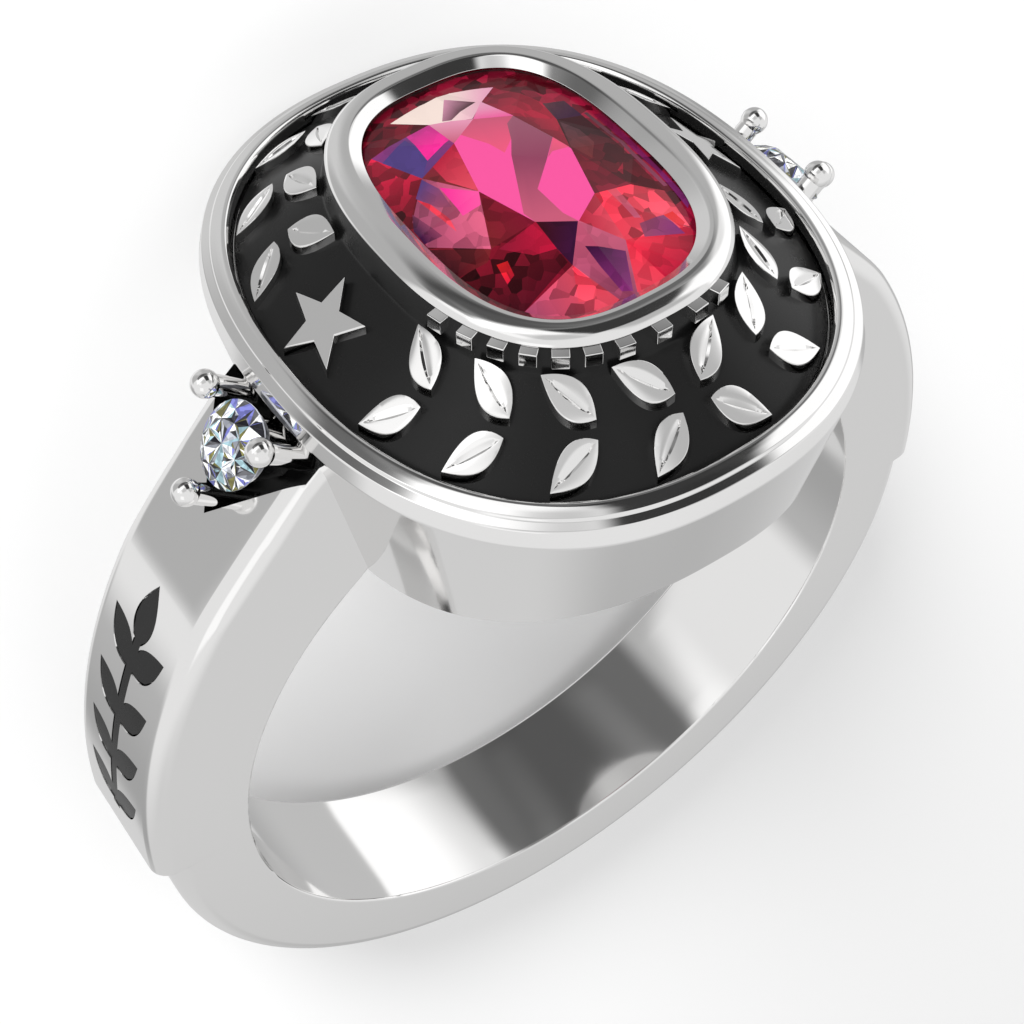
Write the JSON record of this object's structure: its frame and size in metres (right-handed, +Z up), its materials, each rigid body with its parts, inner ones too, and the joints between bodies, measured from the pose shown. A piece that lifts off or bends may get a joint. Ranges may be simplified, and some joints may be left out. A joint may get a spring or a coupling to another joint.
{
  "type": "class ring",
  "caption": "Class ring with a bezel-set red cushion stone, a dark collar of raised leaves and stars, and a prong-set clear stone on each shoulder, lying on its side.",
  "frame": {"origin": "on the floor under the middle of the ring's box, the ring lying on its side", "axes": "+Z up; +X across the shoulders, towards the left accent stone as seen with the head up; -Y towards the head; the finger hole's axis leans 14 degrees from +Z towards +Y"},
  "size_m": [0.022, 0.0248, 0.0136],
  "materials": {
    "polished_silver": "polished",
    "red_stone": "polished, faceted",
    "clear_stone": "polished, faceted",
    "black_fill": "satin enamel"
  },
  "bodies": {
    "root": {"ring_body": "polished_silver", "centre_stone": "red_stone", "accent_stone_left": "clear_stone", "accent_stone_right": "clear_stone", "collar_enamel": "black_fill", "shoulder_inlay_left": "black_fill", "shoulder_inlay_right": "black_fill"}
  },
  "joints": []
}
